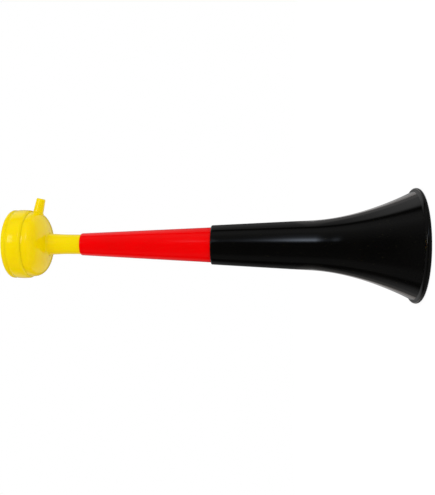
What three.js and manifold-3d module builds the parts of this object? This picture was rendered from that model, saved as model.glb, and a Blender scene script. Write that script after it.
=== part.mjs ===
// A three-section fan horn that plugs together: a flared bell, a tapered middle tube and a
// head with a side blow nipple. Inside the head a thin membrane lies on the end of the sound
// tube. A slip ring and a screw cap hold the membrane down on its seat.
// Millimetres. +Z runs along the bore, from the mouth of the bell at Z = 0 up to the cap.
// The nipple points towards +X and leans a little towards the bell.
import * as THREE from 'three';
import { mergeVertices } from 'three/addons/utils/BufferGeometryUtils.js';
import Module from 'manifold-3d';

const wasm = await Module();
wasm.setup();

// Driving dimensions that all the pieces share
const seatGap = 0.3; // between two faces that touch on the real horn
const plugGap = 0.3; // round each plug in its socket
const threadGap = 0.4; // from each thread crest to the wall that it runs along
const cutOverrun = 2; // how far a cutting solid runs past the face that it opens

// Bell
const bellLength = 181.5;
const bellMouthRadius = 50.6;
const bellWall = 1.6;
const bellSocketWall = 1.55;
const bellSocketDepth = 24;
const bellConeGrowth = 4.6; // what the straight cone adds to the radius down to the flare
const flareHeight = 92;
const flarePowerShare = 1.875; // how late the flare opens
const rimBeadRadius = 2.7;
const rimFlatWidth = 2.2;
const rimBeadStep = 4; // from the end of the flare out to the crest of the bead
const bellEdgeRound = 0.9;

// Middle tube
const tubeVisibleLength = 119;
const tubePlugRadius = 15.8;
const tubeWall = 1.4;
const tubeSocketWall = 0.9;
const tubeSocketDepth = 22;
const tubeEdgeHeight = 1.6; // the rounded lip at the small end, along the tube
const tubeEdgeRound = 0.6;

// The ledge at the bottom of each socket, which the plug stands on
const ledgeHeight = 1.6;
const ledgeLap = 1.2; // how far the ledge reaches in under the wall of the plug

// Head: neck, drum and sound tube
const neckRadius = 8.95;
const neckLength = 30.6;
const neckFlare = 0.75; // what the neck gains on its way to the drum
const neckFlareLength = 15;
const neckFillet = 2.2;
const soundBoreRadius = 7.3;
const soundTubeWall = 1.5;
const drumRadius = 29.6;
const drumDomeHeight = 15;
const drumDomePowerShare = 2.6; // 2 would be an ellipse, more is squarer
const drumBandHeight = 0.9;
const drumFloorWall = 2;
const collarRadius = 28;
const collarWall = 1.9;
const collarHeight = 9.6;

// Blow nipple
const nippleRadius = 4.2;
const nippleBoreRadius = 2.5;
const nippleReach = 41.8; // from the axis of the horn to the middle of the tip
const nippleDrop = 4.5; // from the widest ring of the drum down to where the nipple leaves it
const nippleLeanDegrees = 12;
const nippleTipRound = 0.7;

// Membrane and slip ring
const membraneThickness = 0.3;
const membraneMargin = 0.5; // from the edge of the membrane to the edge of the collar
const slipRingHeight = 2.4;
const slipRingWidth = 4.2;

// Screw cap
const capWall = 1.7;
const capHeadroom = 3.1; // free height for the membrane between the slip ring and the cap
const capTopWall = 1.7;
const capTopRound = 2.8;
const capGrooveDepth = 0.9;
const capGrooveWidth = 3;
const capGrooveDrop = 4.8; // from the top face down to the middle of the groove
const capBulge = 0.3; // how far the skirt swells between groove and lower edge
const capRibWidth = 2.4;
const ventRadius = 1.2;
const ventCircleRadius = 9;
const ventCount = 3;

// Screw thread, right-handed, one start
const threadPitch = 4;
const threadTurns = 1.25;
const threadHeight = 1.1;
const threadRootWidth = 1.9;
const threadCrestWidth = 0.9;
const threadSink = 0.5; // how deep the root of a ridge goes into its wall

// Faceting
const roundSides = 48;
const nippleSides = 20;
const ventSides = 12;
const flareSteps = 12;
const domeSteps = 9;
const filletSteps = 3;
const beadSteps = 6;
const edgeSteps = 3;
const threadStepsPerTurn = 32;

// Sizes that follow from the ones above
const bellSocketRadius = tubePlugRadius + plugGap;
const bellNeckRadius = bellSocketRadius + bellSocketWall;
const bellConeLength = bellLength - flareHeight;
const bellConeSlope = bellConeGrowth / bellConeLength;
const bellLedgeTop = bellLength - bellSocketDepth;
const bellLedgeRadius = tubePlugRadius - ledgeLap;
const rimBeadCentreHeight = Math.sqrt(rimBeadRadius ** 2 - (rimFlatWidth / 2) ** 2);
const rimBeadCentreRadius = bellMouthRadius - rimBeadRadius;
const flareEndRadius = bellMouthRadius - rimBeadStep;
const rimJoinOffset = Math.max(-rimBeadRadius, flareEndRadius - rimBeadCentreRadius);
const rimJoinHeight = rimBeadCentreHeight + Math.sqrt(rimBeadRadius ** 2 - rimJoinOffset ** 2);
const flareLength = flareHeight - rimJoinHeight;
const flareGrowth = flareEndRadius - bellConeRadius(rimJoinHeight);

const tubeBottom = bellLedgeTop + seatGap;
const tubeTop = bellLength + tubeVisibleLength;
const tubeSocketRadius = neckRadius + plugGap;
const tubeTopRadius = tubeSocketRadius + tubeSocketWall;
const tubeSlope = (tubePlugRadius - tubeTopRadius) / tubeVisibleLength;
const tubeLedgeTop = tubeTop - tubeSocketDepth;
const tubeLedgeRadius = neckRadius - ledgeLap;

const headBottom = tubeLedgeTop + seatGap;
const drumBottom = tubeTop + neckLength;
const drumEquator = drumBottom + drumDomeHeight;
const drumShoulder = drumEquator + drumBandHeight;
const collarTop = drumShoulder + collarHeight;
const chamberRadius = collarRadius - collarWall;
const soundTubeRadius = soundBoreRadius + soundTubeWall;

const membraneBottom = collarTop + seatGap;
const membraneRadius = collarRadius - membraneMargin;
const slipRingBottom = membraneBottom + membraneThickness + seatGap;
const slipRingTop = slipRingBottom + slipRingHeight;
const capBottom = drumShoulder + seatGap;
const capBoreRadius = collarRadius + threadHeight + threadGap;
const capRadius = capBoreRadius + capWall;
const capCeiling = slipRingTop + seatGap + capHeadroom;
const capTop = capCeiling + capTopWall;
const drumThreadStart = capBottom + threadRootWidth / 2 + threadPitch / 2;

const nippleLean = THREE.MathUtils.degToRad(nippleLeanDegrees);
const nippleDirection = new THREE.Vector3(Math.cos(nippleLean), 0, -Math.sin(nippleLean));
const nippleRoot = new THREE.Vector3(drumRadius, 0, drumEquator - nippleDrop);

// Materials
const blackPlastic = new THREE.MeshStandardMaterial({ color: 0x0c0c0e, roughness: 0.2, metalness: 0 });
const redPlastic = new THREE.MeshStandardMaterial({ color: 0xee0210, roughness: 0.25, metalness: 0 });
const yellowPlastic = new THREE.MeshStandardMaterial({ color: 0xf6da0c, roughness: 0.3, metalness: 0 });
const whitePlastic = new THREE.MeshStandardMaterial({ color: 0xe9e7e0, roughness: 0.45, metalness: 0 });
const clearFilm = new THREE.MeshStandardMaterial({ color: 0xdfe6e8, roughness: 0.3, metalness: 0 });

// Outer radius of the straight cone of the bell at height z
function bellConeRadius(z) {
  return bellNeckRadius + (bellLength - z) * bellConeSlope;
}

// Outer radius of the bell at height z: the cone and, below flareHeight, the flare on top of it
function bellRadius(z) {
  const opening = Math.max(0, (flareHeight - z) / flareLength);
  return bellConeRadius(z) + flareGrowth * opening ** flarePowerShare;
}

// How fast the outer radius of the bell grows per unit of height downwards
function bellSlope(z) {
  const opening = Math.max(0, (flareHeight - z) / flareLength);
  const flareSlope = (flareGrowth / flareLength) * flarePowerShare * opening ** (flarePowerShare - 1);
  return bellConeSlope + flareSlope;
}

// Outer radius of the middle tube at height z above the bell
function tubeRadius(z) {
  return tubeTopRadius + (tubeTop - z) * tubeSlope;
}

// Points on an elliptical arc from angle start to angle end, in degrees, both ends included
function arc(centreX, centreY, radiusX, radiusY, startDegrees, endDegrees, steps) {
  const points = [];
  for (let i = 0; i <= steps; i += 1) {
    const angle = THREE.MathUtils.degToRad(startDegrees + ((endDegrees - startDegrees) * i) / steps);
    points.push([centreX + radiusX * Math.cos(angle), centreY + radiusY * Math.sin(angle)]);
  }
  return points;
}

// A solid turned from an outline of [radius, height] pairs, listed up the outside and down the inside
function turned(outline, sides = roundSides) {
  const first = outline[0];
  const closed = first[0] === 0 ? outline : [...outline, first];
  const profile = closed.map(([radius, height]) => new THREE.Vector2(radius, height));
  const geometry = new THREE.LatheGeometry(profile, sides);
  geometry.rotateX(Math.PI / 2);
  return toSolid(geometry);
}

// A closed geometry as a solid that can be joined and cut
function toSolid(geometry) {
  const bare = geometry.clone();
  bare.deleteAttribute('normal');
  bare.deleteAttribute('uv');
  const merged = mergeVertices(bare);
  const triangles = [];
  for (let i = 0; i < merged.index.count; i += 3) {
    const corners = [merged.index.getX(i), merged.index.getX(i + 1), merged.index.getX(i + 2)];
    if (new Set(corners).size === 3) triangles.push(...corners);
  }
  return new wasm.Manifold(new wasm.Mesh({
    numProp: 3,
    vertProperties: new Float32Array(merged.attributes.position.array),
    triVerts: new Uint32Array(triangles),
  }));
}

// A solid as a named mesh of one material
function toMesh(name, solid, material) {
  const result = solid.getMesh();
  const geometry = new THREE.BufferGeometry();
  geometry.setAttribute('position', new THREE.BufferAttribute(result.vertProperties, 3));
  geometry.setIndex(new THREE.BufferAttribute(result.triVerts, 1));
  geometry.computeVertexNormals();
  const mesh = new THREE.Mesh(geometry, material);
  mesh.name = name;
  return mesh;
}

// One helical ridge. wallRadius is the wall that it stands on, and side is 1 where the ridge
// points away from the axis and -1 where it points towards it. Both ends run out into the wall.
function threadRidge(wallRadius, side, startHeight) {
  const steps = Math.round(threadTurns * threadStepsPerTurn);
  const positions = [];
  for (let i = 0; i <= steps; i += 1) {
    const angle = (i / threadStepsPerTurn) * Math.PI * 2;
    const centre = startHeight + (i / threadStepsPerTurn) * threadPitch;
    const fade = Math.min(1, (Math.min(i, steps - i) + 1) / (threadStepsPerTurn / 8));
    const rootRadius = wallRadius - side * threadSink;
    const crestRadius = wallRadius + side * threadHeight * fade;
    const section = [
      [rootRadius, centre - threadRootWidth / 2],
      [crestRadius, centre - threadCrestWidth / 2],
      [crestRadius, centre + threadCrestWidth / 2],
      [rootRadius, centre + threadRootWidth / 2],
    ];
    for (const [radius, height] of section) {
      positions.push(radius * Math.cos(angle), radius * Math.sin(angle), height);
    }
  }
  const quads = [];
  for (let i = 0; i < steps; i += 1) {
    for (let k = 0; k < 4; k += 1) {
      const a = i * 4 + k;
      const b = i * 4 + ((k + 1) % 4);
      quads.push([a, a + 4, b + 4, b]);
    }
  }
  const last = steps * 4;
  quads.push([0, 1, 2, 3], [last, last + 3, last + 2, last + 1]);
  const triangles = [];
  for (const [a, b, c, d] of quads) {
    if (side > 0) triangles.push(a, b, c, a, c, d);
    else triangles.push(a, c, b, a, d, c);
  }
  const geometry = new THREE.BufferGeometry();
  geometry.setAttribute('position', new THREE.Float32BufferAttribute(positions, 3));
  geometry.setIndex(triangles);
  return toSolid(geometry);
}

// The socket at the wide end of a section, listed from its mouth down to under its ledge
function socketOutline(mouthHeight, socketRadius, ledgeTop, ledgeRadius, boreRadiusBelow) {
  const ledgeBottom = ledgeTop - ledgeHeight;
  return [
    [socketRadius, mouthHeight],
    [socketRadius, ledgeTop],
    [ledgeRadius, ledgeTop],
    [ledgeRadius, ledgeBottom],
    [boreRadiusBelow(ledgeBottom), ledgeBottom],
  ];
}

// Part of the round bead along the rim of the bell
function beadArc(startDegrees, endDegrees, steps) {
  return arc(
    rimBeadCentreRadius, rimBeadCentreHeight, rimBeadRadius, rimBeadRadius, startDegrees, endDegrees, steps);
}

// Bell: rolled rim at the bottom, flare, straight cone, and the socket for the middle tube
function makeBell() {
  const boreRadius = (z) => bellRadius(z) - bellWall * Math.hypot(1, bellSlope(z));
  const flatAngle = THREE.MathUtils.radToDeg(Math.asin(rimBeadCentreHeight / rimBeadRadius));
  const joinAngle = THREE.MathUtils.radToDeg(Math.acos(rimJoinOffset / rimBeadRadius));
  const flareStations = [];
  for (let i = 1; i <= flareSteps; i += 1) {
    flareStations.push(rimJoinHeight + (flareLength * i) / flareSteps);
  }

  const outside = flareStations.map((z) => [bellRadius(z), z]);
  const edgeRadius = bellNeckRadius - bellEdgeRound;
  const edge = arc(edgeRadius, bellLength - bellEdgeRound, bellEdgeRound, bellEdgeRound, 0, 90, edgeSteps);
  const inside = flareStations.reverse().map((z) => [boreRadius(z), z]);
  const beadInside = beadArc(-180, flatAngle - 180, 2);
  const beadOutside = beadArc(-flatAngle, joinAngle, beadSteps);
  return turned([
    ...beadOutside,
    ...outside,
    ...edge,
    ...socketOutline(bellLength, bellSocketRadius, bellLedgeTop, bellLedgeRadius, boreRadius),
    ...inside,
    ...beadInside,
  ]);
}

// Middle tube: a parallel plug at the wide end, a long taper, and the socket for the head
function makeMiddleTube() {
  const boreRadius = (z) => tubeRadius(z) - tubeWall;
  const plugBore = tubePlugRadius - tubeWall;
  const edge = arc(
    tubeTopRadius - tubeEdgeRound, tubeTop - tubeEdgeHeight, tubeEdgeRound, tubeEdgeHeight, 0, 90, edgeSteps);
  return turned([
    [tubePlugRadius, tubeBottom],
    [tubePlugRadius, bellLength],
    ...edge,
    ...socketOutline(tubeTop, tubeSocketRadius, tubeLedgeTop, tubeLedgeRadius, boreRadius),
    [plugBore, bellLength],
    [plugBore, tubeBottom],
  ]);
}

// Head: plug, neck, drum with its threaded collar, the sound tube inside it, and the nipple
function makeHeadBody() {
  const neckEnd = neckRadius + neckFlare;
  const neckFlareStart = drumBottom - neckFillet - neckFlareLength;
  const domeStart = neckEnd + neckFillet;
  const dome = domeOutline(drumRadius, drumDomeHeight, domeStart);
  const filletCentre = dome[0][1] - neckFillet;
  const chamber = domeOutline(chamberRadius, drumDomeHeight - drumFloorWall, soundTubeRadius);
  const shell = turned([
    [neckRadius, headBottom],
    [neckRadius, neckFlareStart],
    ...arc(domeStart, filletCentre, neckFillet, neckFillet, 180, 90, filletSteps),
    ...dome.slice(1),
    [drumRadius, drumShoulder],
    [collarRadius, drumShoulder],
    [collarRadius, collarTop],
    [chamberRadius, collarTop],
    ...chamber.reverse(),
    [soundTubeRadius, collarTop],
    [soundBoreRadius, collarTop],
    [soundBoreRadius, headBottom],
  ]);
  const ridge = threadRidge(collarRadius, 1, drumThreadStart);
  return shell.add(ridge).add(nippleBody()).subtract(nippleBore());
}

// The rounded underside of the drum from radius fromRadius out to its widest ring
function domeOutline(radius, height, fromRadius) {
  const power = 2 / drumDomePowerShare;
  const startAngle = Math.acos((fromRadius / radius) ** (1 / power));
  const points = [];
  for (let i = 0; i <= domeSteps; i += 1) {
    const angle = startAngle * (1 - i / domeSteps);
    points.push([radius * Math.cos(angle) ** power, drumEquator - height * Math.sin(angle) ** power]);
  }
  return points;
}

// A solid turned about the axis of the nipple, with heights measured out from nippleRoot
function alongNipple(outline) {
  const profile = outline.map(([radius, height]) => new THREE.Vector2(radius, height));
  const geometry = new THREE.LatheGeometry(profile, nippleSides);
  const turn = new THREE.Quaternion().setFromUnitVectors(new THREE.Vector3(0, 1, 0), nippleDirection);
  geometry.applyQuaternion(turn);
  geometry.translate(nippleRoot.x, nippleRoot.y, nippleRoot.z);
  return toSolid(geometry);
}

function nippleTipDistance() {
  return (nippleReach - drumRadius) / Math.cos(nippleLean);
}

function nippleBody() {
  const tip = nippleTipDistance();
  const rootDepth = (drumRadius - chamberRadius) / Math.cos(nippleLean);
  return alongNipple([
    [0, -rootDepth],
    [nippleRadius, -rootDepth],
    ...arc(nippleRadius - nippleTipRound, tip - nippleTipRound, nippleTipRound, nippleTipRound, 0, 90, edgeSteps),
    [0, tip],
  ]);
}

// The bore of the nipple, from beyond its tip to well inside the air chamber
function nippleBore() {
  const inwards = (drumRadius - (chamberRadius + soundTubeRadius) / 2) / Math.cos(nippleLean);
  return alongNipple([
    [0, -inwards],
    [nippleBoreRadius, -inwards],
    [nippleBoreRadius, nippleTipDistance() + cutOverrun],
    [0, nippleTipDistance() + cutOverrun],
  ]);
}

// Membrane: a thin disc on the collar and on the end of the sound tube
function makeMembrane() {
  const top = membraneBottom + membraneThickness;
  return turned([
    [0, membraneBottom],
    [membraneRadius, membraneBottom],
    [membraneRadius, top],
    [0, top],
  ]);
}

// Slip ring: it lets the cap turn without dragging the membrane round
function makeSlipRing() {
  const inner = collarRadius - slipRingWidth;
  return turned([
    [collarRadius, slipRingBottom],
    [collarRadius, slipRingTop],
    [inner, slipRingTop],
    [inner, slipRingBottom],
  ]);
}

// Screw cap: a rounded top edge, a shallow groove, a slightly swollen skirt, and a rib inside
// that presses on the slip ring
function makeScrewCap() {
  const grooveMiddle = capTop - capGrooveDrop;
  const skirtTop = grooveMiddle - capGrooveWidth / 2;
  const ribOuter = collarRadius - (slipRingWidth - capRibWidth) / 2;
  const ribInner = ribOuter - capRibWidth;
  const ribBottom = slipRingTop + seatGap;
  const skirt = [];
  for (let i = 0; i <= 4; i += 1) {
    const share = i / 4;
    skirt.push([
      capRadius + capBulge * Math.sin(Math.PI * share) - capBulge * (1 - share),
      capBottom + (skirtTop - capBottom) * share,
    ]);
  }
  const shell = turned([
    [0, capCeiling],
    [ribInner, capCeiling],
    [ribInner, ribBottom],
    [ribOuter, ribBottom],
    [ribOuter, capCeiling],
    [capBoreRadius, capCeiling],
    [capBoreRadius, capBottom],
    ...skirt,
    [capRadius - capGrooveDepth, grooveMiddle],
    ...arc(capRadius - capTopRound, capTop - capTopRound, capTopRound, capTopRound, 0, 90, 4),
    [0, capTop],
  ]);
  const ridge = threadRidge(capBoreRadius, -1, drumThreadStart - threadPitch / 2);
  let cap = shell.add(ridge);
  for (let i = 0; i < ventCount; i += 1) {
    cap = cap.subtract(vent((i / ventCount) * Math.PI * 2));
  }
  return cap;
}

// One vent hole through the top of the cap
function vent(angle) {
  const height = capTopWall + 2 * cutOverrun;
  const geometry = new THREE.CylinderGeometry(ventRadius, ventRadius, height, ventSides);
  geometry.rotateX(Math.PI / 2);
  geometry.translate(
    ventCircleRadius * Math.cos(angle), ventCircleRadius * Math.sin(angle), capTop - capTopWall / 2);
  return toSolid(geometry);
}

const horn = new THREE.Group();
horn.add(toMesh('bell', makeBell(), blackPlastic));
horn.add(toMesh('middle_tube', makeMiddleTube(), redPlastic));
horn.add(toMesh('head_body', makeHeadBody(), yellowPlastic));
horn.add(toMesh('membrane', makeMembrane(), clearFilm));
horn.add(toMesh('slip_ring', makeSlipRing(), whitePlastic));
horn.add(toMesh('screw_cap', makeScrewCap(), yellowPlastic));

export default horn;
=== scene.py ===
import bmesh
import bpy
import math
from mathutils import Matrix, Vector


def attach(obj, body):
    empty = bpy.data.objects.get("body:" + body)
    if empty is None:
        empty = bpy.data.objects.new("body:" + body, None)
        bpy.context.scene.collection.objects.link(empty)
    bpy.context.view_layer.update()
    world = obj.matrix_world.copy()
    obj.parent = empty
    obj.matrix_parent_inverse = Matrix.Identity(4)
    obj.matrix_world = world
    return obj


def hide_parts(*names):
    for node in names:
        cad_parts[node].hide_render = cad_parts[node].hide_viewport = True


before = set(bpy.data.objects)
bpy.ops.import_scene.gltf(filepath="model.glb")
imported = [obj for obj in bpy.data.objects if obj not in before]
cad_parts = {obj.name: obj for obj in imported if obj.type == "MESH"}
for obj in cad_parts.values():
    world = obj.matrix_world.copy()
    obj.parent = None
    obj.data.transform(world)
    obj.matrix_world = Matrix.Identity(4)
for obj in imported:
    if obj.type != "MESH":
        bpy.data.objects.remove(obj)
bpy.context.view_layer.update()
scene = bpy.context.scene
scene.view_settings.view_transform = "Standard"
mm = 0.001


# Camera: it looks across the standing horn, rolled so that the cap is at the left of the picture

shot = {
    "aim": (-0.00231, 0, 0.17594),
    "distance": 0.5580,
    "towardsBell": 4.59,  # degrees that the camera stands below the middle of the horn
    "roll": -0.286,
    "lens": 45.09,
    "sensor": 36,
}

camera = bpy.data.objects.new("photoCamera", bpy.data.cameras.new("photoCamera"))
lookUp = Matrix.Rotation(math.radians(90 + shot["towardsBell"]), 4, "X")
onItsSide = Matrix.Rotation(math.radians(-90 - shot["roll"]), 4, "Z")
backAway = Matrix.Translation((0, 0, shot["distance"]))
camera.matrix_world = Matrix.Translation(shot["aim"]) @ lookUp @ onItsSide @ backAway
camera.data.lens = shot["lens"]
camera.data.sensor_width = shot["sensor"]
scene.collection.objects.link(camera)
scene.camera = camera
print("camera set")


# Node helpers

def addNode(tree, kind, inputs=None, **settings):
    node = tree.nodes.new(kind)
    for name, value in settings.items():
        setattr(node, name, value)
    for name, value in (inputs or {}).items():
        if isinstance(value, bpy.types.NodeSocket):
            tree.links.new(value, node.inputs[name])
        else:
            node.inputs[name].default_value = value
    return node


def calculate(tree, operation, *values):
    return addNode(tree, "ShaderNodeMath", dict(enumerate(values)), operation=operation).outputs[0]


def multiply(tree, first, *others):
    for other in others:
        first = calculate(tree, "MULTIPLY", first, other)
    return first


def mixColours(tree, factor, first, second):
    node = addNode(tree, "ShaderNodeMix", data_type="RGBA")
    for socket, value in ((node.inputs[0], factor), (node.inputs[6], first), (node.inputs[7], second)):
        if isinstance(value, bpy.types.NodeSocket):
            tree.links.new(value, socket)
        else:
            socket.default_value = value
    return node.outputs[2]


def mixShaders(tree, factor, first, second):
    return addNode(tree, "ShaderNodeMixShader", {0: factor, 1: first, 2: second}).outputs[0]


def mapRange(tree, value, low, high, toLow=0.0, toHigh=1.0, smooth=False):
    node = addNode(
        tree, "ShaderNodeMapRange",
        {"Value": value, "From Min": low, "From Max": high, "To Min": toLow, "To Max": toHigh},
        interpolation_type="SMOOTHSTEP" if smooth else "LINEAR")
    return node.outputs["Result"]


def objectPlace(tree):
    return addNode(tree, "ShaderNodeTexCoord").outputs["Object"]


def noise(tree, place, scale, detail, output=0):
    inputs = {"Vector": place, "Scale": scale, "Detail": detail}
    return addNode(tree, "ShaderNodeTexNoise", inputs).outputs[output]


def plainGrey(level):
    return (level, level, level, 1)


def colour(red, green, blue):
    def toLinear(value):
        share = value / 255
        return share / 12.92 if share <= 0.04045 else ((share + 0.055) / 1.055) ** 2.4
    return (toLinear(red), toLinear(green), toLinear(blue), 1.0)


# Studio: the camera sees white, matt surfaces a pale fill, and glossy ones grey walls round the horn

studio = {
    "white": (1, 1, 1),
    "fillTop": (1.02, 1.02, 0.55),  # from the side that is up in the picture
    "fillBottom": (0.87, 0.74, 0.40),
    "fillFront": 1.10,  # strength from the camera's side
    "fillBehind": 0.86,  # and from behind the horn
    "overhead": 0.10,
    "overheadFrom": 30,  # degrees above the horizon, as the next three
    "overheadTo": 55,
    "highFrom": 4,
    "highTo": 22,
    # the walls near the horizon: degrees round the horn from the camera's side towards +X, level
    "around": [
        (-180, 0.10), (-150, 0.10), (-128, 0.10), (-114, 0.05), (-106, 0.006), (-94, 0.006),
        (-86, 0.07), (-66, 0.07), (-52, 0.025), (-20, 0.012), (10, 0.015), (22, 0.03), (48, 0.09),
        (66, 0.17), (80, 0.14), (87, 0.008), (93, 0.008), (100, 0.16), (126, 0.20), (150, 0.12),
        (180, 0.10),
    ],
    # the same higher up, where the walls behind the horn are brighter
    "aroundHigh": [
        (-180, 0.30), (-150, 0.42), (-128, 0.50), (-114, 0.26), (-102, 0.03), (-94, 0.006),
        (-86, 0.07), (-66, 0.07), (-52, 0.025), (-20, 0.012), (10, 0.015), (22, 0.03), (48, 0.09),
        (66, 0.17), (80, 0.14), (87, 0.008), (93, 0.01), (100, 0.48), (126, 0.66), (150, 0.44),
        (180, 0.30),
    ],
}

# A soft box that glossy surfaces see: level by degrees round the horn, and share by degrees of height
softBox = {
    "tint": (0.86, 0.98, 1.18),
    "around": [
        (9, 0), (13, 0.1), (17, 1.0), (21, 3.6), (26, 3.3), (31, 1.5), (36, 0.6), (42, 0.25), (54, 0),
    ],
    "height": [
        (-12, 0), (-6, 0.6), (2.2, 0.7), (2.8, 0.8), (4.1, 0.41), (5.1, 0.25), (6.2, 0.12),
        (7.3, 0.055), (9, 0.03), (11.0, 0.015), (11.5, 0.15), (12.6, 0.16), (13.6, 0.07), (14.4, 0.0),
    ],
}


def ramp(tree, factor, stops, low, high, top=1.0):
    # A ramp through (value, level) stops; it gives the levels as shares of top
    node = addNode(tree, "ShaderNodeValToRGB", {0: mapRange(tree, factor, low, high)})
    elements = node.color_ramp.elements
    while len(elements) < len(stops):
        elements.new(0.5)
    for element, (value, level) in zip(elements, stops):
        element.position = (value - low) / (high - low)
        element.color = (*[level / top] * 3, 1)
    return node.outputs["Color"]


def background(tree, tint, strength=1.0):
    node = addNode(tree, "ShaderNodeBackground", {"Strength": strength})
    if isinstance(tint, bpy.types.NodeSocket):
        tree.links.new(tint, node.inputs["Color"])
    else:
        node.inputs["Color"].default_value = (*tint, 1)
    return node.outputs[0]


def makeStudio():
    world = bpy.data.worlds.new("studio")
    world.use_nodes = True
    world.cycles.sampling_method = "NONE"
    scene.world = world
    tree = world.node_tree
    tree.nodes.clear()
    ray = addNode(tree, "ShaderNodeLightPath").outputs
    direction = addNode(tree, "ShaderNodeTexCoord").outputs["Generated"]
    split = addNode(tree, "ShaderNodeSeparateXYZ", {0: direction}).outputs
    toDegrees = 180 / math.pi
    front = multiply(tree, split["Y"], -1.0)
    around = multiply(tree, calculate(tree, "ARCTAN2", split["X"], front), toDegrees)
    height = multiply(tree, calculate(tree, "ARCSINE", split["Z"]), toDegrees)
    high = mapRange(tree, height, studio["highFrom"], studio["highTo"], smooth=True)
    lowWalls = ramp(tree, around, studio["around"], -180, 180)
    highWalls = ramp(tree, around, studio["aroundHigh"], -180, 180)
    walls = mixColours(tree, high, lowWalls, highWalls)
    overhead = mapRange(tree, height, studio["overheadFrom"], studio["overheadTo"], smooth=True)
    mirrored = background(tree, mixColours(tree, overhead, walls, plainGrey(studio["overhead"])))
    top = max(level for value, level in softBox["around"])
    across = ramp(tree, around, softBox["around"], -180, 180, top)
    upwards = ramp(tree, height, softBox["height"], -90, 90)
    glow = background(tree, softBox["tint"], multiply(tree, across, upwards, top))
    mirrored = addNode(tree, "ShaderNodeAddShader", {0: mirrored, 1: glow}).outputs[0]
    side = mapRange(tree, split["X"], -1.0, 1.0)
    tint = mixColours(tree, side, (*studio["fillBottom"], 1), (*studio["fillTop"], 1))
    strength = mapRange(tree, split["Y"], -1.0, 1.0, studio["fillFront"], studio["fillBehind"])
    fill = background(tree, tint, strength)
    lit = mixShaders(tree, ray["Is Glossy Ray"], fill, mirrored)
    direct = calculate(tree, "MAXIMUM", ray["Is Camera Ray"], ray["Is Transmission Ray"])
    whole = mixShaders(tree, direct, lit, background(tree, studio["white"]))
    addNode(tree, "ShaderNodeOutputWorld", {"Surface": whole})


# Lamps: degrees round the horn from the camera's side towards +X, height and distance in metres

lamps = {
    "highBox": {  # the soft highlight on the cap
        "angle": 17, "height": 0.604, "distance": 0.45, "aimHeight": 0.33, "wide": 0.180, "tall": 0.126,
        "spread": 180, "level": 2.3, "tint": (1, 1, 1), "mirrored": True,
    },
    "key": {  # lights the colours only
        "angle": 18, "height": 0.50, "distance": 0.95, "aimHeight": 0.18, "wide": 0.55, "tall": 0.55,
        "spread": 180, "level": 0.6, "tint": (1, 1, 1), "mirrored": False,
    },
    "rightCard": {  # two cards behind the horn at each side, for the grey bands along the flare
        "angle": 132, "height": -0.02, "distance": 0.5, "aimHeight": -0.04, "wide": 0.90, "tall": 0.14,
        "spread": 80, "level": 0.120, "tint": (1, 0.94, 0.91), "mirrored": True,
    },
    "rightTall": {
        "angle": 132, "height": 0.01, "distance": 0.505, "aimHeight": -0.01, "wide": 0.90, "tall": 0.18,
        "spread": 80, "level": 0.030, "tint": (1, 0.94, 0.91), "mirrored": True,
    },
    "leftCard": {
        "angle": -134, "height": -0.02, "distance": 0.5, "aimHeight": -0.04, "wide": 0.80, "tall": 0.14,
        "spread": 80, "level": 0.110, "tint": (1, 0.92, 0.87), "mirrored": True,
    },
    "leftTall": {
        "angle": -134, "height": 0.01, "distance": 0.505, "aimHeight": -0.01, "wide": 0.80, "tall": 0.18,
        "spread": 80, "level": 0.022, "tint": (1, 0.92, 0.87), "mirrored": True,
    },
}


def makeLamp(name, values):
    data = bpy.data.lights.new(name, "AREA")
    data.shape = "RECTANGLE"
    data.size, data.size_y = values["wide"], values["tall"]
    data.energy = values["level"] * math.pi * data.size * data.size_y
    data.color = values["tint"]
    data.spread = math.radians(values["spread"])
    lamp = bpy.data.objects.new(name, data)
    angle = math.radians(values["angle"])
    place = Vector((math.sin(angle), -math.cos(angle), 0)) * values["distance"]
    place.z = values["height"]
    aim = Vector((0, 0, values["aimHeight"])) - place
    turned = aim.to_track_quat("-Z", "Y").to_matrix().to_4x4()
    lamp.matrix_world = Matrix.Translation(place) @ turned
    lamp.visible_glossy = values["mirrored"]
    lamp.visible_camera = False
    scene.collection.objects.link(lamp)


makeStudio()
for name, values in lamps.items():
    makeLamp(name, values)
print("studio lit")


# Floor

floorLook = {
    "radius": 2.5,
    "sides": 64,
    "drop": 0.00005,
    "colour": 0.95,
    "roughness": 0.9,
    "specular": 0.1,
    "ownLight": 0.90,  # white glow that the camera sees
    "surface": (0.14, 0.14, 0.25),  # what the camera sees of the light, bluish because the fill is warm
    "mirroredNear": 0.1,  # what glossy surfaces see in front of the horn
    "mirroredFar": 0.6,  # and behind it
    "nearEnd": -0.05,
    "farStart": 0.15,
}


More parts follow.
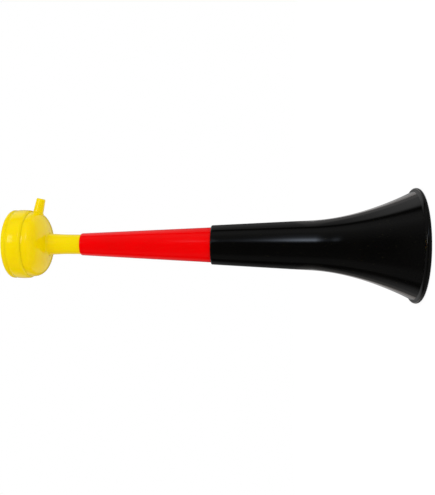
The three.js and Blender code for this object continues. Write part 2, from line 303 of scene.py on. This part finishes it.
def makeFloor():
    look = floorLook
    bm = bmesh.new()
    bmesh.ops.create_circle(bm, cap_ends=True, segments=look["sides"], radius=look["radius"])
    bmesh.ops.translate(bm, verts=bm.verts, vec=(0, 0, -look["drop"]))
    mesh = bpy.data.meshes.new("floor")
    bm.to_mesh(mesh)
    bm.free()
    floor = bpy.data.objects.new("floor", mesh)
    scene.collection.objects.link(floor)
    material = bpy.data.materials.new("paleFloor")
    material.use_nodes = True
    tree = material.node_tree
    tree.nodes.clear()
    ray = addNode(tree, "ShaderNodeLightPath").outputs
    matt = addNode(tree, "ShaderNodeBsdfPrincipled", {
        "Base Color": plainGrey(look["colour"]), "Roughness": look["roughness"],
        "Specular IOR Level": look["specular"]}).outputs[0]
    glow = addNode(
        tree, "ShaderNodeEmission", {"Color": plainGrey(1), "Strength": look["ownLight"]}).outputs[0]
    thin = addNode(tree, "ShaderNodeBsdfDiffuse", {"Color": (*look["surface"], 1)}).outputs[0]
    shown = addNode(tree, "ShaderNodeAddShader", {0: glow, 1: thin}).outputs[0]
    direct = calculate(tree, "MAXIMUM", ray["Is Camera Ray"], ray["Is Transmission Ray"])
    whole = mixShaders(tree, direct, matt, shown)
    behind = addNode(tree, "ShaderNodeSeparateXYZ", {0: objectPlace(tree)}).outputs["Y"]
    strength = mapRange(
        tree, behind, look["nearEnd"], look["farStart"], look["mirroredNear"], look["mirroredFar"])
    mirrored = addNode(tree, "ShaderNodeEmission", {"Strength": strength}).outputs[0]
    whole = mixShaders(tree, ray["Is Glossy Ray"], whole, mirrored)
    addNode(tree, "ShaderNodeOutputMaterial", {"Surface": whole})
    mesh.materials.append(material)


makeFloor()
print("floor laid")


# Shader groups: what the plastics of the horn share

def newGroup(name, inputs, outputs):
    group = bpy.data.node_groups.new(name, "ShaderNodeTree")
    for label, value in inputs.items():
        socket = group.interface.new_socket(label, in_out="INPUT", socket_type="NodeSocketFloat")
        socket.default_value = value
    for label in outputs:
        group.interface.new_socket(label, in_out="OUTPUT", socket_type="NodeSocketFloat")
    return group, addNode(group, "NodeGroupInput").outputs, addNode(group, "NodeGroupOutput").inputs


skin = {
    "rippleDetail": 1.5, "grainDetail": 3.0, "mottleDetail": 4.0, "mottleFrom": 0.3, "mottleTo": 0.7,
}


def makeMouldedSkin():
    # Flow ripples and fine grain of moulded plastic; height is in metres
    inputs = {
        "Ripple Scale": 60, "Ripple Depth": 0.00001, "Grain Scale": 2500, "Grain Depth": 0.000001,
        "Mottle Scale": 45,
    }
    group, given, made = newGroup("mouldedSkin", inputs, ["Height", "Mottle"])
    place = objectPlace(group)
    ripple = noise(group, place, given["Ripple Scale"], skin["rippleDetail"])
    grain = noise(group, place, given["Grain Scale"], skin["grainDetail"])
    mottle = noise(group, place, given["Mottle Scale"], skin["mottleDetail"])
    mottle = mapRange(group, mottle, skin["mottleFrom"], skin["mottleTo"], smooth=True)
    rippleHeight = multiply(group, ripple, given["Ripple Depth"])
    height = calculate(group, "MULTIPLY_ADD", grain, given["Grain Depth"], rippleHeight)
    group.links.new(height, made["Height"])
    group.links.new(mottle, made["Mottle"])
    return group


handling = {
    "scratchTurns": [(0.1, 0.2, 0.4), (1.3, 0.5, 0.2)],
    "scratchScales": [(900, 900, 26), (1100, 1100, 40)],
    "scratchFrom": 0.70, "scratchTo": 0.76,
    "patchScale": 30.0, "patchDetail": 2.0, "patchFrom": 0.45, "patchTo": 0.7,
    "bendScale": 2200.0, "bend": 0.0006,  # makes the specks uneven
    "speckEdge": 0.15, "speckCore": 0.06, "rareFrom": 0.90, "rareTo": 0.96,
}


def makeHandling():
    # Hairline scratches along and across the piece, and specks of dust
    inputs = {"Scratches": 0.5, "Dust": 0.5, "Dust Scale": 650}
    group, given, made = newGroup("handling", inputs, ["Scratch", "Speck"])
    place = objectPlace(group)
    lines = []
    for turn, scale in zip(handling["scratchTurns"], handling["scratchScales"]):
        stretched = addNode(group, "ShaderNodeMapping", {"Vector": place, "Rotation": turn, "Scale": scale})
        streaks = noise(group, stretched.outputs[0], 1.0, 1.0)
        lines.append(mapRange(group, streaks, handling["scratchFrom"], handling["scratchTo"]))
    patches = noise(group, place, handling["patchScale"], handling["patchDetail"])
    worn = mapRange(group, patches, handling["patchFrom"], handling["patchTo"], smooth=True)
    scratch = multiply(group, calculate(group, "MAXIMUM", *lines), worn, given["Scratches"])
    group.links.new(scratch, made["Scratch"])
    bend = noise(group, place, handling["bendScale"], 1.0, output="Color")
    bend = addNode(group, "ShaderNodeVectorMath", {0: bend, "Scale": handling["bend"]}, operation="SCALE")
    bent = addNode(group, "ShaderNodeVectorMath", {0: place, 1: bend.outputs[0]}, operation="ADD")
    cells = addNode(
        group, "ShaderNodeTexVoronoi", {"Vector": bent.outputs[0], "Scale": given["Dust Scale"]}).outputs
    dot = mapRange(group, cells["Distance"], handling["speckEdge"], handling["speckCore"])
    chosen = addNode(group, "ShaderNodeSeparateColor", {0: cells["Color"]}).outputs[0]
    rare = mapRange(group, chosen, handling["rareFrom"], handling["rareTo"])
    group.links.new(multiply(group, dot, rare, given["Dust"]), made["Speck"])
    return group


seam = {"edge": 1.0, "core": 0.2}  # shares of the half width between which the ridge rises


def makeMouldSeam():
    # The line that the two mould halves leave in the plane y = 0; height is in metres
    group, given, made = newGroup("mouldSeam", {"Half Width": 0.00025, "Depth": 0.00001}, ["Height"])
    place = addNode(group, "ShaderNodeSeparateXYZ", {0: objectPlace(group)}).outputs
    across = calculate(group, "DIVIDE", calculate(group, "ABSOLUTE", place["Y"]), given["Half Width"])
    ridge = mapRange(group, across, seam["edge"], seam["core"], smooth=True)
    group.links.new(multiply(group, ridge, given["Depth"]), made["Height"])
    return group


rub = {
    "from": 0.53, "to": 0.60,
    "patchScale": 220.0, "patchDetail": 3.0, "patchFrom": 0.40, "patchTo": 0.62,
}


def makeEdgeRub():
    # Where convex edges have been rubbed
    group, given, made = newGroup("edgeRub", {"Amount": 1.0}, ["Rub"])
    convex = addNode(group, "ShaderNodeNewGeometry").outputs["Pointiness"]
    edge = mapRange(group, convex, rub["from"], rub["to"], smooth=True)
    breakUp = noise(group, objectPlace(group), rub["patchScale"], rub["patchDetail"])
    patchy = mapRange(group, breakUp, rub["patchFrom"], rub["patchTo"], smooth=True)
    group.links.new(multiply(group, edge, patchy, given["Amount"]), made["Rub"])
    return group


groups = {
    "skin": makeMouldedSkin(),
    "handling": makeHandling(),
    "seam": makeMouldSeam(),
    "rub": makeEdgeRub(),
}


def placeGroup(tree, name, values):
    node = tree.nodes.new("ShaderNodeGroup")
    node.node_tree = groups[name]
    for label, value in values.items():
        node.inputs[label].default_value = value
    return node.outputs


# Plastics

plastics = {
    "blackPlastic": {
        "colour": colour(6, 6, 9), "mottleColour": colour(4, 4, 7), "mottleShare": 0.8,
        "rubColour": colour(52, 52, 54), "dustColour": colour(120, 118, 112),
        "roughness": 0.07, "roughnessMottle": 0.03, "scratchRoughness": 0.2,
        "ripple": 0.000012, "rippleScale": 55, "grain": 0.0000006,
        "scratches": 0.5, "dust": 0.35, "rub": 0.5,
        "subsurface": 0.0, "specular": 0.5,
    },
    "redPlastic": {
        "colour": colour(240, 0, 6), "mottleColour": colour(232, 0, 4), "mottleShare": 0.8,
        "rubColour": colour(245, 60, 60), "dustColour": colour(235, 120, 110),
        "roughness": 0.07, "roughnessMottle": 0.02, "scratchRoughness": 0.2,
        "ripple": 0.000008, "rippleScale": 60, "grain": 0.0000004,
        "scratches": 0.4, "dust": 0.2, "rub": 0.4,
        "subsurface": 0.05, "specular": 0.4,
    },
    "yellowPlastic": {
        "colour": colour(251, 225, 0), "mottleColour": colour(247, 218, 0), "mottleShare": 0.8,
        "rubColour": colour(250, 235, 120), "dustColour": colour(225, 205, 110),
        "roughness": 0.13, "roughnessMottle": 0.03, "scratchRoughness": 0.2,
        "ripple": 0.000006, "rippleScale": 55, "grain": 0.0000004,
        "scratches": 0.4, "dust": 0.25, "rub": 0.15,
        "subsurface": 0.3, "specular": 0.42,
    },
    "whitePlastic": {
        "colour": colour(233, 231, 224), "mottleColour": colour(225, 222, 213), "mottleShare": 0.8,
        "rubColour": colour(245, 244, 240), "dustColour": colour(190, 186, 176),
        "roughness": 0.4, "roughnessMottle": 0.08, "scratchRoughness": 0.15,
        "ripple": 0.00001, "rippleScale": 90, "grain": 0.0000015,
        "scratches": 0.3, "dust": 0.2, "rub": 0.2,
        "subsurface": 0.1, "specular": 0.5,
    },
}

# What the four plastics have in common
everyPlastic = {
    "rubRoughness": 0.2, "scratchDepth": 0.000001,
    "subsurfaceScale": 0.003, "subsurfaceRadius": (1.0, 0.7, 0.15),
}


def makePlastic(name, look):
    material = bpy.data.materials.new(name)
    material.use_nodes = True
    tree = material.node_tree
    tree.nodes.clear()
    moulded = placeGroup(tree, "skin", {
        "Ripple Scale": look["rippleScale"], "Ripple Depth": look["ripple"], "Grain Depth": look["grain"]})
    marks = placeGroup(tree, "handling", {"Scratches": look["scratches"], "Dust": look["dust"]})
    line = placeGroup(tree, "seam", {})
    rubbed = placeGroup(tree, "rub", {"Amount": look["rub"]})
    mottle = multiply(tree, moulded["Mottle"], look["mottleShare"])
    base = mixColours(tree, mottle, look["colour"], look["mottleColour"])
    base = mixColours(tree, rubbed["Rub"], base, look["rubColour"])
    base = mixColours(tree, marks["Speck"], base, look["dustColour"])
    rough = calculate(tree, "MULTIPLY_ADD", moulded["Mottle"], look["roughnessMottle"], look["roughness"])
    rough = calculate(tree, "MULTIPLY_ADD", marks["Scratch"], look["scratchRoughness"], rough)
    rough = calculate(tree, "MULTIPLY_ADD", rubbed["Rub"], everyPlastic["rubRoughness"], rough)
    height = calculate(tree, "ADD", moulded["Height"], line["Height"])
    height = calculate(tree, "MULTIPLY_ADD", marks["Scratch"], -everyPlastic["scratchDepth"], height)
    bump = addNode(tree, "ShaderNodeBump", {"Height": height, "Distance": 1.0, "Strength": 1.0})
    shader = addNode(tree, "ShaderNodeBsdfPrincipled", {
        "Base Color": base, "Roughness": rough, "Normal": bump.outputs[0],
        "Specular IOR Level": look["specular"], "Subsurface Weight": look["subsurface"],
        "Subsurface Scale": everyPlastic["subsurfaceScale"],
        "Subsurface Radius": everyPlastic["subsurfaceRadius"]})
    addNode(tree, "ShaderNodeOutputMaterial", {"Surface": shader.outputs[0]})
    return material


materials = {name: makePlastic(name, look) for name, look in plastics.items()}
print("plastics mixed")


# Turned pieces: an outline in millimetres, spun about the axis of the horn

turnSteps = 128
sharpAngle = math.radians(34)


def drawOutline(bm, corners, closed=True, roundSteps=4, longest=6):
    # A corner is (radius, height) or (radius, height, rounding)
    verts = [bm.verts.new((corner[0] * mm, 0, corner[1] * mm)) for corner in corners]
    following = verts[1:] + verts[:1] if closed else verts[1:]
    for first, second in zip(verts, following):
        bm.edges.new((first, second))
    for vert, corner in zip(verts, corners):
        if len(corner) > 2:
            bmesh.ops.bevel(
                bm, geom=[vert], offset=corner[2] * mm, offset_type="OFFSET", segments=roundSteps,
                profile=0.5, affect="VERTICES", clamp_overlap=True, material=-1)
    for edge in bm.edges[:]:
        cuts = int(edge.calc_length() / (longest * mm))
        if cuts:
            bmesh.ops.subdivide_edges(bm, edges=[edge], cuts=cuts)


def spinOutline(bm, steps=turnSteps):
    bmesh.ops.spin(
        bm, geom=bm.verts[:] + bm.edges[:], cent=(0, 0, 0), axis=(0, 0, 1),
        angle=math.tau, steps=steps, use_merge=True)
    bmesh.ops.remove_doubles(bm, verts=bm.verts, dist=1e-6)
    bmesh.ops.recalc_face_normals(bm, faces=bm.faces)


def finishPiece(bm, name, material=None):
    mesh = bpy.data.meshes.new(name)
    bm.to_mesh(mesh)
    bm.free()
    piece = bpy.data.objects.new(name, mesh)
    scene.collection.objects.link(piece)
    if material:
        mesh.materials.append(material)
    return piece


def smoothPiece(piece):
    for polygon in piece.data.polygons:
        polygon.use_smooth = True
    piece.data.set_sharp_from_angle(angle=sharpAngle)
    even = piece.modifiers.new("evenShading", "WEIGHTED_NORMAL")
    even.keep_sharp = True


def combine(piece, tool, operation):
    # Joins a closed tool to a piece, or cuts it out, and removes the tool
    change = piece.modifiers.new(operation, "BOOLEAN")
    change.operation = operation
    change.solver = "EXACT"
    change.object = tool
    made = bpy.data.meshes.new_from_object(piece.evaluated_get(bpy.context.evaluated_depsgraph_get()))
    piece.modifiers.clear()
    old, piece.data = piece.data, made
    made.name = piece.name
    bpy.data.meshes.remove(old)
    bpy.data.objects.remove(tool)


def setPiece(piece, body, node):
    smoothPiece(piece)
    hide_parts(node)
    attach(piece, body)


def arcPoints(centre, radii, start, end, steps):
    # Points on an ellipse arc from angle start to angle end, in degrees
    points = []
    for step in range(steps + 1):
        angle = math.radians(start + (end - start) * step / steps)
        points.append((centre[0] + radii[0] * math.cos(angle), centre[1] + radii[1] * math.sin(angle)))
    return points


# Bell

bell = {
    "length": 181.5, "mouthRadius": 50.6, "wall": 1.6,
    "neckRadius": 17.65, "coneGrowth": 4.6, "flareHeight": 92, "flarePower": 1.88,
    "beadRadius": 2.7, "beadFlat": 2.2, "beadStep": 3.1, "edgeRound": 1.2,
    "socketRadius": 16.1, "socketDepth": 24, "socketRound": 0.25,
    "ledgeRadius": 14.6, "ledgeHeight": 1.6, "ledgeRound": 0.2,
    "flareSteps": 40, "beadSteps": 16, "sides": 160,
}


def bellOutline():
    b = bell
    halfFlat = b["beadFlat"] / 2
    beadHeight = math.sqrt(b["beadRadius"] ** 2 - halfFlat ** 2)
    beadMiddle = b["mouthRadius"] - b["beadRadius"]
    flareEnd = b["mouthRadius"] - b["beadStep"]
    joinOffset = flareEnd - beadMiddle
    joinHeight = beadHeight + math.sqrt(b["beadRadius"] ** 2 - joinOffset ** 2)
    coneSlope = b["coneGrowth"] / (b["length"] - b["flareHeight"])
    cone = lambda z: b["neckRadius"] + (b["length"] - z) * coneSlope
    flareLength = b["flareHeight"] - joinHeight
    flareGrowth = flareEnd - cone(joinHeight)
    opening = lambda z: max(0, (b["flareHeight"] - z) / flareLength)
    outer = lambda z: cone(z) + flareGrowth * opening(z) ** b["flarePower"]
    flareSlope = flareGrowth / flareLength * b["flarePower"]
    slope = lambda z: coneSlope + flareSlope * opening(z) ** (b["flarePower"] - 1)
    inner = lambda z: outer(z) - b["wall"] * math.hypot(1, slope(z))
    flatAngle = math.degrees(math.asin(beadHeight / b["beadRadius"]))
    joinAngle = math.degrees(math.acos(joinOffset / b["beadRadius"]))
    bead = lambda start, end, steps: arcPoints(
        (beadMiddle, beadHeight), (b["beadRadius"], b["beadRadius"]), start, end, steps)
    shares = [step / b["flareSteps"] for step in range(1, b["flareSteps"] + 1)]
    heights = [joinHeight + flareLength * share for share in shares]
    ledgeTop = b["length"] - b["socketDepth"]
    ledgeBottom = ledgeTop - b["ledgeHeight"]
    return [
        *bead(-flatAngle, joinAngle, b["beadSteps"]),
        *[(outer(z), z) for z in heights],
        (b["neckRadius"], b["length"], b["edgeRound"]),
        (b["socketRadius"], b["length"], b["socketRound"]),
        (b["socketRadius"], ledgeTop),
        (b["ledgeRadius"], ledgeTop, b["ledgeRound"]),
        (b["ledgeRadius"], ledgeBottom, b["ledgeRound"]),
        (inner(ledgeBottom), ledgeBottom),
        *[(inner(z), z) for z in reversed(heights)],
        *bead(-180, flatAngle - 180, b["beadSteps"] // 3),
    ]


def makeBell():
    bm = bmesh.new()
    drawOutline(bm, bellOutline())
    spinOutline(bm, steps=bell["sides"])
    piece = finishPiece(bm, "flaredBell", materials["blackPlastic"])
    setPiece(piece, "bell", "bell")


makeBell()
print("bell turned")


# Middle tube

tube = {
    "bottom": 157.8, "start": 181.5, "top": 300.5, "plugRadius": 15.8, "topRadius": 10.15,
    "wall": 1.4, "plugRound": 0.5, "boreRound": 0.4, "lipHeight": 1.6, "lipRound": 0.6, "lipSteps": 6,
    "socketRadius": 9.25, "socketDepth": 22, "socketRound": 0.1,
    "ledgeRadius": 7.75, "ledgeHeight": 1.6, "ledgeRound": 0.2,
}


def makeTube():
    t = tube
    slope = (t["plugRadius"] - t["topRadius"]) / (t["top"] - t["start"])
    ledgeTop = t["top"] - t["socketDepth"]
    ledgeBottom = ledgeTop - t["ledgeHeight"]
    boreAtLedge = t["topRadius"] + (t["top"] - ledgeBottom) * slope - t["wall"]
    plugBore = t["plugRadius"] - t["wall"]
    lip = arcPoints(
        (t["topRadius"] - t["lipRound"], t["top"] - t["lipHeight"]), (t["lipRound"], t["lipHeight"]),
        0, 90, t["lipSteps"])
    bm = bmesh.new()
    drawOutline(bm, [
        (t["plugRadius"], t["bottom"], t["plugRound"]),
        (t["plugRadius"], t["start"]),
        *lip,
        (t["socketRadius"], t["top"], t["socketRound"]),
        (t["socketRadius"], ledgeTop),
        (t["ledgeRadius"], ledgeTop, t["ledgeRound"]),
        (t["ledgeRadius"], ledgeBottom, t["ledgeRound"]),
        (boreAtLedge, ledgeBottom),
        (plugBore, t["start"]),
        (plugBore, t["bottom"], t["boreRound"]),
    ])
    spinOutline(bm)
    piece = finishPiece(bm, "taperedTube", materials["redPlastic"])
    setPiece(piece, "middle", "middle_tube")


makeTube()
print("middle tube turned")


# Screw thread of the collar and the cap: right-handed, one start

thread = {
    "pitch": 4, "turns": 1.25, "height": 1.1, "rootWidth": 1.9, "crestWidth": 0.9, "crestRound": 0.15,
    "sink": 0.5, "stepsPerTurn": 64, "fadeTurns": 0.125, "lowest": 0.1,  # share of the height at its ends
}


def makeThread(wallRadius, side, start):
    # side is 1 for a ridge that points outwards, -1 for one that points inwards
    t = thread
    root, crest = wallRadius - side * t["sink"], wallRadius + side * t["height"]
    bm = bmesh.new()
    drawOutline(bm, [
        (root, start - t["rootWidth"] / 2),
        (crest, start - t["crestWidth"] / 2, t["crestRound"]),
        (crest, start + t["crestWidth"] / 2, t["crestRound"]),
        (root, start + t["rootWidth"] / 2),
    ], roundSteps=2)
    section = bm.verts[:]
    steps = round(t["turns"] * t["stepsPerTurn"])
    bmesh.ops.spin(
        bm, geom=section + bm.edges[:], cent=(0, 0, 0), axis=(0, 0, 1),
        dvec=(0, 0, t["pitch"] * mm / t["stepsPerTurn"]), angle=math.tau * t["turns"], steps=steps)
    halfCrest = t["crestWidth"] / 2 / t["pitch"]
    for vert in bm.verts:
        along = (vert.co.z / mm - start) / t["pitch"]
        fromEnd = (min(along, t["turns"] - along) + halfCrest) / t["fadeTurns"]
        fade = min(1, max(t["lowest"], fromEnd))
        radius = math.hypot(vert.co.x, vert.co.y)
        beyond = side * (radius - wallRadius * mm)
        if beyond > 0:
            wanted = wallRadius * mm + side * beyond * fade
            vert.co.x *= wanted / radius
            vert.co.y *= wanted / radius
    ends = [edge for edge in bm.edges if len(edge.link_faces) == 1]
    bmesh.ops.holes_fill(bm, edges=ends, sides=len(section))
    bmesh.ops.recalc_face_normals(bm, faces=bm.faces)
    return finishPiece(bm, "ridge")


# Head: neck, drum, collar and sound tube in one, with the blow nipple

head = {
    "bottom": 278.8, "neckRadius": 8.95, "neckRound": 0.4, "neckStraightTo": 313.9, "neckGain": 0.75,
    "neckPower": 1.5, "neckFillet": 2.2, "neckSteps": 6, "filletSteps": 6,
    "soundBore": 7.3, "soundRadius": 8.8,
    "domeBottom": 331.1, "domeHeight": 15, "drumRadius": 29.6, "domePower": 2.6, "domeSteps": 36,
    "band": 0.9, "bandTuck": 0.075, "bandSteps": 8,
    "chamberRadius": 26.1, "floorWall": 2, "collarRadius": 28, "collarTop": 356.6, "edgeRound": 0.3,
    "threadStart": 350.25,
}
nipple = {
    "rootRadius": 29.6, "rootHeight": 341.6, "lean": 12, "reach": 41.8, "radius": 4.4, "tipRadius": 3.9,
    "bore": 2.5, "boreSoft": 0.4, "tipRound": 1.1,
    "flareOut": 0.7, "flareLength": 2.8, "flareStart": -1.2, "flareSteps": 6, "sides": 64, "overrun": 2,
}


def domePoints(radius, height, fromRadius):
    h = head
    equator = h["domeBottom"] + h["domeHeight"]
    power = 2 / h["domePower"]
    startAngle = math.acos((fromRadius / radius) ** (1 / power))
    points = []
    for step in range(h["domeSteps"] + 1):
        angle = startAngle * (1 - step / h["domeSteps"])
        points.append((radius * math.cos(angle) ** power, equator - height * math.sin(angle) ** power))
    return points


def makeNippleTool(outline):
    # An outline of (radius, distance out from the drum), spun about the axis of the nipple
    n = nipple
    bm = bmesh.new()
    drawOutline(bm, outline, closed=False)
    spinOutline(bm, steps=n["sides"])
    lean = math.radians(n["lean"])
    outwards = Vector((math.cos(lean), 0, -math.sin(lean)))
    turned = outwards.to_track_quat("Z", "Y").to_matrix().to_4x4()
    root = Matrix.Translation((n["rootRadius"] * mm, 0, n["rootHeight"] * mm))
    bmesh.ops.transform(bm, matrix=root @ turned, verts=bm.verts)
    return finishPiece(bm, "nippleTool")


def makeHead():
    h, n = head, nipple
    neckEnd = h["neckRadius"] + h["neckGain"]
    domeStart = neckEnd + h["neckFillet"]
    dome = domePoints(h["drumRadius"], h["domeHeight"], domeStart)
    filletHeight = dome[0][1] - h["neckFillet"]
    neck = []
    for step in range(h["neckSteps"] + 1):
        share = step / h["neckSteps"]
        height = h["neckStraightTo"] + (filletHeight - h["neckStraightTo"]) * share
        neck.append((h["neckRadius"] + h["neckGain"] * share ** h["neckPower"], height))
    fillet = arcPoints((domeStart, filletHeight), (h["neckFillet"],) * 2, 180, 90, h["filletSteps"])
    chamber = domePoints(h["chamberRadius"], h["domeHeight"] - h["floorWall"], h["soundRadius"])
    shoulder = h["domeBottom"] + h["domeHeight"] + h["band"]
    bandStart = dome[-3][1]
    band = []  # slightly barrel-shaped, in place of the last three points of the dome
    for step in range(h["bandSteps"] + 1):
        share = step / h["bandSteps"]
        tuck = h["bandTuck"] * (2 * share - 1) ** 2
        band.append((h["drumRadius"] - tuck, bandStart + (shoulder - bandStart) * share))
    bm = bmesh.new()
    drawOutline(bm, [
        (h["neckRadius"], h["bottom"], h["neckRound"]),
        *neck,
        *fillet[1:],
        *dome[1:-3],
        *band,
        (h["collarRadius"], shoulder),
        (h["collarRadius"], h["collarTop"], h["edgeRound"]),
        (h["chamberRadius"], h["collarTop"], h["edgeRound"]),
        *reversed(chamber),
        (h["soundRadius"], h["collarTop"], h["edgeRound"]),
        (h["soundBore"], h["collarTop"], h["edgeRound"]),
        (h["soundBore"], h["bottom"], h["edgeRound"]),
    ])
    spinOutline(bm)
    piece = finishPiece(bm, "hornHead", materials["yellowPlastic"])
    combine(piece, makeThread(h["collarRadius"], 1, h["threadStart"]), "UNION")
    leanCosine = math.cos(math.radians(n["lean"]))
    tip = (n["reach"] - n["rootRadius"]) / leanCosine
    depth = (h["drumRadius"] - h["chamberRadius"]) / leanCosine
    inwards = h["drumRadius"] - (h["chamberRadius"] + h["soundRadius"]) / 2
    flareRadius = n["radius"] + n["flareOut"]
    flare = arcPoints(
        (flareRadius, n["flareStart"] + n["flareLength"]), (n["flareOut"], n["flareLength"]),
        270, 180, n["flareSteps"])
    combine(piece, makeNippleTool([
        (0, -depth),
        (flareRadius, -depth),
        *flare,
        (n["tipRadius"], tip, n["tipRound"]),
        (0, tip),
    ]), "UNION")
    combine(piece, makeNippleTool([
        (0, -inwards),
        (n["bore"], -inwards),
        (n["bore"], tip - n["boreSoft"]),
        (n["bore"] + n["boreSoft"], tip),
        (n["bore"] + n["boreSoft"], tip + n["overrun"]),
        (0, tip + n["overrun"]),
    ]), "DIFFERENCE")
    setPiece(piece, "head", "head_body")


makeHead()
print("head moulded")


# Membrane and slip ring

film = {
    "radius": 27.5, "bottom": 356.9, "thickness": 0.3, "rings": 12,
    "colour": colour(223, 230, 232), "mottleColour": colour(212, 220, 224),
    "dustColour": colour(200, 196, 186),
    "roughness": 0.22, "scratchRoughness": 0.2, "transmission": 0.75, "ior": 1.45,
    "rippleScale": 120, "ripple": 0.00003, "grain": 0.000001, "scratches": 0.7, "dust": 0.3,
}
ring = {"outer": 28, "inner": 23.8, "bottom": 357.5, "height": 2.4, "round": 0.35}


def makeFilmMaterial():
    look = film
    material = bpy.data.materials.new("clearFilm")
    material.use_nodes = True
    tree = material.node_tree
    tree.nodes.clear()
    drawn = placeGroup(tree, "skin", {
        "Ripple Scale": look["rippleScale"], "Ripple Depth": look["ripple"], "Grain Depth": look["grain"]})
    marks = placeGroup(tree, "handling", {"Scratches": look["scratches"], "Dust": look["dust"]})
    base = mixColours(tree, drawn["Mottle"], look["colour"], look["mottleColour"])
    base = mixColours(tree, marks["Speck"], base, look["dustColour"])
    rough = calculate(tree, "MULTIPLY_ADD", marks["Scratch"], look["scratchRoughness"], look["roughness"])
    bump = addNode(tree, "ShaderNodeBump", {"Height": drawn["Height"], "Distance": 1.0, "Strength": 1.0})
    shader = addNode(tree, "ShaderNodeBsdfPrincipled", {
        "Base Color": base, "Roughness": rough, "Normal": bump.outputs[0], "IOR": look["ior"],
        "Transmission Weight": look["transmission"]})
    addNode(tree, "ShaderNodeOutputMaterial", {"Surface": shader.outputs[0]})
    return material


def makeFilm():
    top = film["bottom"] + film["thickness"]
    across = [film["radius"] * step / film["rings"] for step in range(film["rings"] + 1)]
    bm = bmesh.new()
    drawOutline(
        bm, [(r, film["bottom"]) for r in across] + [(r, top) for r in reversed(across)], closed=False)
    spinOutline(bm)
    piece = finishPiece(bm, "buzzFilm", makeFilmMaterial())
    setPiece(piece, "head", "membrane")


def makeRing():
    top = ring["bottom"] + ring["height"]
    bm = bmesh.new()
    drawOutline(bm, [
        (ring["outer"], ring["bottom"], ring["round"]),
        (ring["outer"], top, ring["round"]),
        (ring["inner"], top, ring["round"]),
        (ring["inner"], ring["bottom"], ring["round"]),
    ])
    spinOutline(bm)
    piece = finishPiece(bm, "slipRing", materials["whitePlastic"])
    setPiece(piece, "ring", "slip_ring")


makeFilm()
makeRing()
print("film and ring made")


# Screw cap

cap = {
    "bottom": 346.98, "top": 365, "ceiling": 363.3, "bore": 29.5, "boreRound": 0.15,
    "lipRadius": 29.95, "lipSlope": 1.3, "lipRound": 0.8,
    "radius": 31.2, "bulge": 0.3, "skirtSteps": 12,
    "grooveMiddle": 360.2, "grooveWidth": 3, "grooveDepth": 0.9, "grooveRound": 0.6,
    "topRound": 2.8, "topSteps": 10,
    "ribOuter": 27.1, "ribWidth": 2.4, "ribBottom": 360.2, "ribRound": 0.3, "threadStart": 348.25,
    "vents": 3, "ventRadius": 1.2, "ventCircle": 9, "ventSoft": 0.25, "ventSides": 32, "ventOverrun": 1,
}


def makeVent(angle):
    c = cap
    bm = bmesh.new()
    drawOutline(bm, [
        (0, c["ceiling"] - c["ventOverrun"]),
        (c["ventRadius"], c["ceiling"] - c["ventOverrun"]),
        (c["ventRadius"], c["top"] - c["ventSoft"]),
        (c["ventRadius"] + c["ventSoft"], c["top"]),
        (c["ventRadius"] + c["ventSoft"], c["top"] + c["ventOverrun"]),
        (0, c["top"] + c["ventOverrun"]),
    ], closed=False)
    spinOutline(bm, steps=c["ventSides"])
    away = Vector((math.cos(angle), math.sin(angle), 0)) * c["ventCircle"] * mm
    bmesh.ops.translate(bm, verts=bm.verts, vec=away)
    return finishPiece(bm, "ventTool")


def makeCap():
    c = cap
    skirtTop = c["grooveMiddle"] - c["grooveWidth"] / 2
    skirt = []
    for step in range(1, c["skirtSteps"] + 1):
        share = step / c["skirtSteps"]
        swell = c["bulge"] * (math.sin(math.pi * share) - (1 - share))
        skirt.append((c["radius"] + swell, c["bottom"] + (skirtTop - c["bottom"]) * share))
    ribInner = c["ribOuter"] - c["ribWidth"]
    rounding = arcPoints(
        (c["radius"] - c["topRound"], c["top"] - c["topRound"]), (c["topRound"],) * 2,
        0, 90, c["topSteps"])
    bm = bmesh.new()
    drawOutline(bm, [
        (0, c["ceiling"]),
        (ribInner, c["ceiling"]),
        (ribInner, c["ribBottom"], c["ribRound"]),
        (c["ribOuter"], c["ribBottom"], c["ribRound"]),
        (c["ribOuter"], c["ceiling"]),
        (c["bore"], c["ceiling"]),
        (c["bore"], c["bottom"], c["boreRound"]),
        (c["lipRadius"], c["bottom"], c["boreRound"]),
        (c["radius"] - c["bulge"] / 2, c["bottom"] + c["lipSlope"], c["lipRound"]),
        *skirt[1:],
        (c["radius"] - c["grooveDepth"], c["grooveMiddle"], c["grooveRound"]),
        *rounding,
        (0, c["top"]),
    ], closed=False)
    spinOutline(bm)
    piece = finishPiece(bm, "screwCap", materials["yellowPlastic"])
    combine(piece, makeThread(c["bore"], -1, c["threadStart"]), "UNION")
    for step in range(c["vents"]):
        combine(piece, makeVent(math.tau * step / c["vents"]), "DIFFERENCE")
    setPiece(piece, "cap", "screw_cap")


makeCap()
print("cap moulded")
